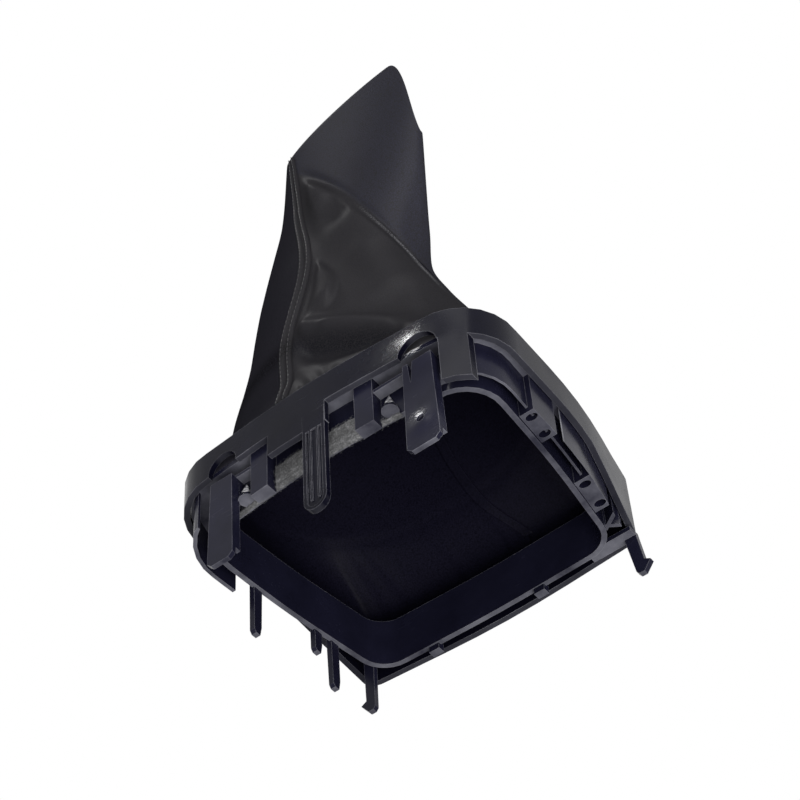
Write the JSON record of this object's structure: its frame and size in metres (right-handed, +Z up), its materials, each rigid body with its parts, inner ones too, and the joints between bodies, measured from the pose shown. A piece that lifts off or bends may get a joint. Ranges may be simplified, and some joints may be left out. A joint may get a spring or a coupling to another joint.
{
  "type": "gear lever gaiter",
  "caption": "Car gear lever gaiter: a sewn leatherette boot with a collapsed sleeve, held in a moulded bezel by a retaining ring with long hanging clips and latch prongs.",
  "frame": {"origin": "middle of the footprint, level with the lowest tips of the hanging clips and tongue", "axes": "+Z up the boot out of the bezel, -Y towards the side with the two long clips, +X to the right seen from that side"},
  "size_m": [0.1552, 0.1284, 0.2975],
  "materials": {
    "bezel_plastic": "satin black injection moulding with a fine grain",
    "ring_plastic": "smooth black injection moulding with a soft gloss",
    "leatherette": "soft near-black leatherette with a fine grain",
    "seam": "folded leatherette welt, sewn along both sides",
    "hem_textile": "raw grey knitted backing"
  },
  "bodies": {
    "root": {"bezel": "bezel_plastic", "retaining_ring": "ring_plastic", "right_panel": "leatherette", "left_panel": "leatherette", "front_seam": "seam", "rear_seam": "seam", "hem_backing": "hem_textile"}
  },
  "joints": []
}
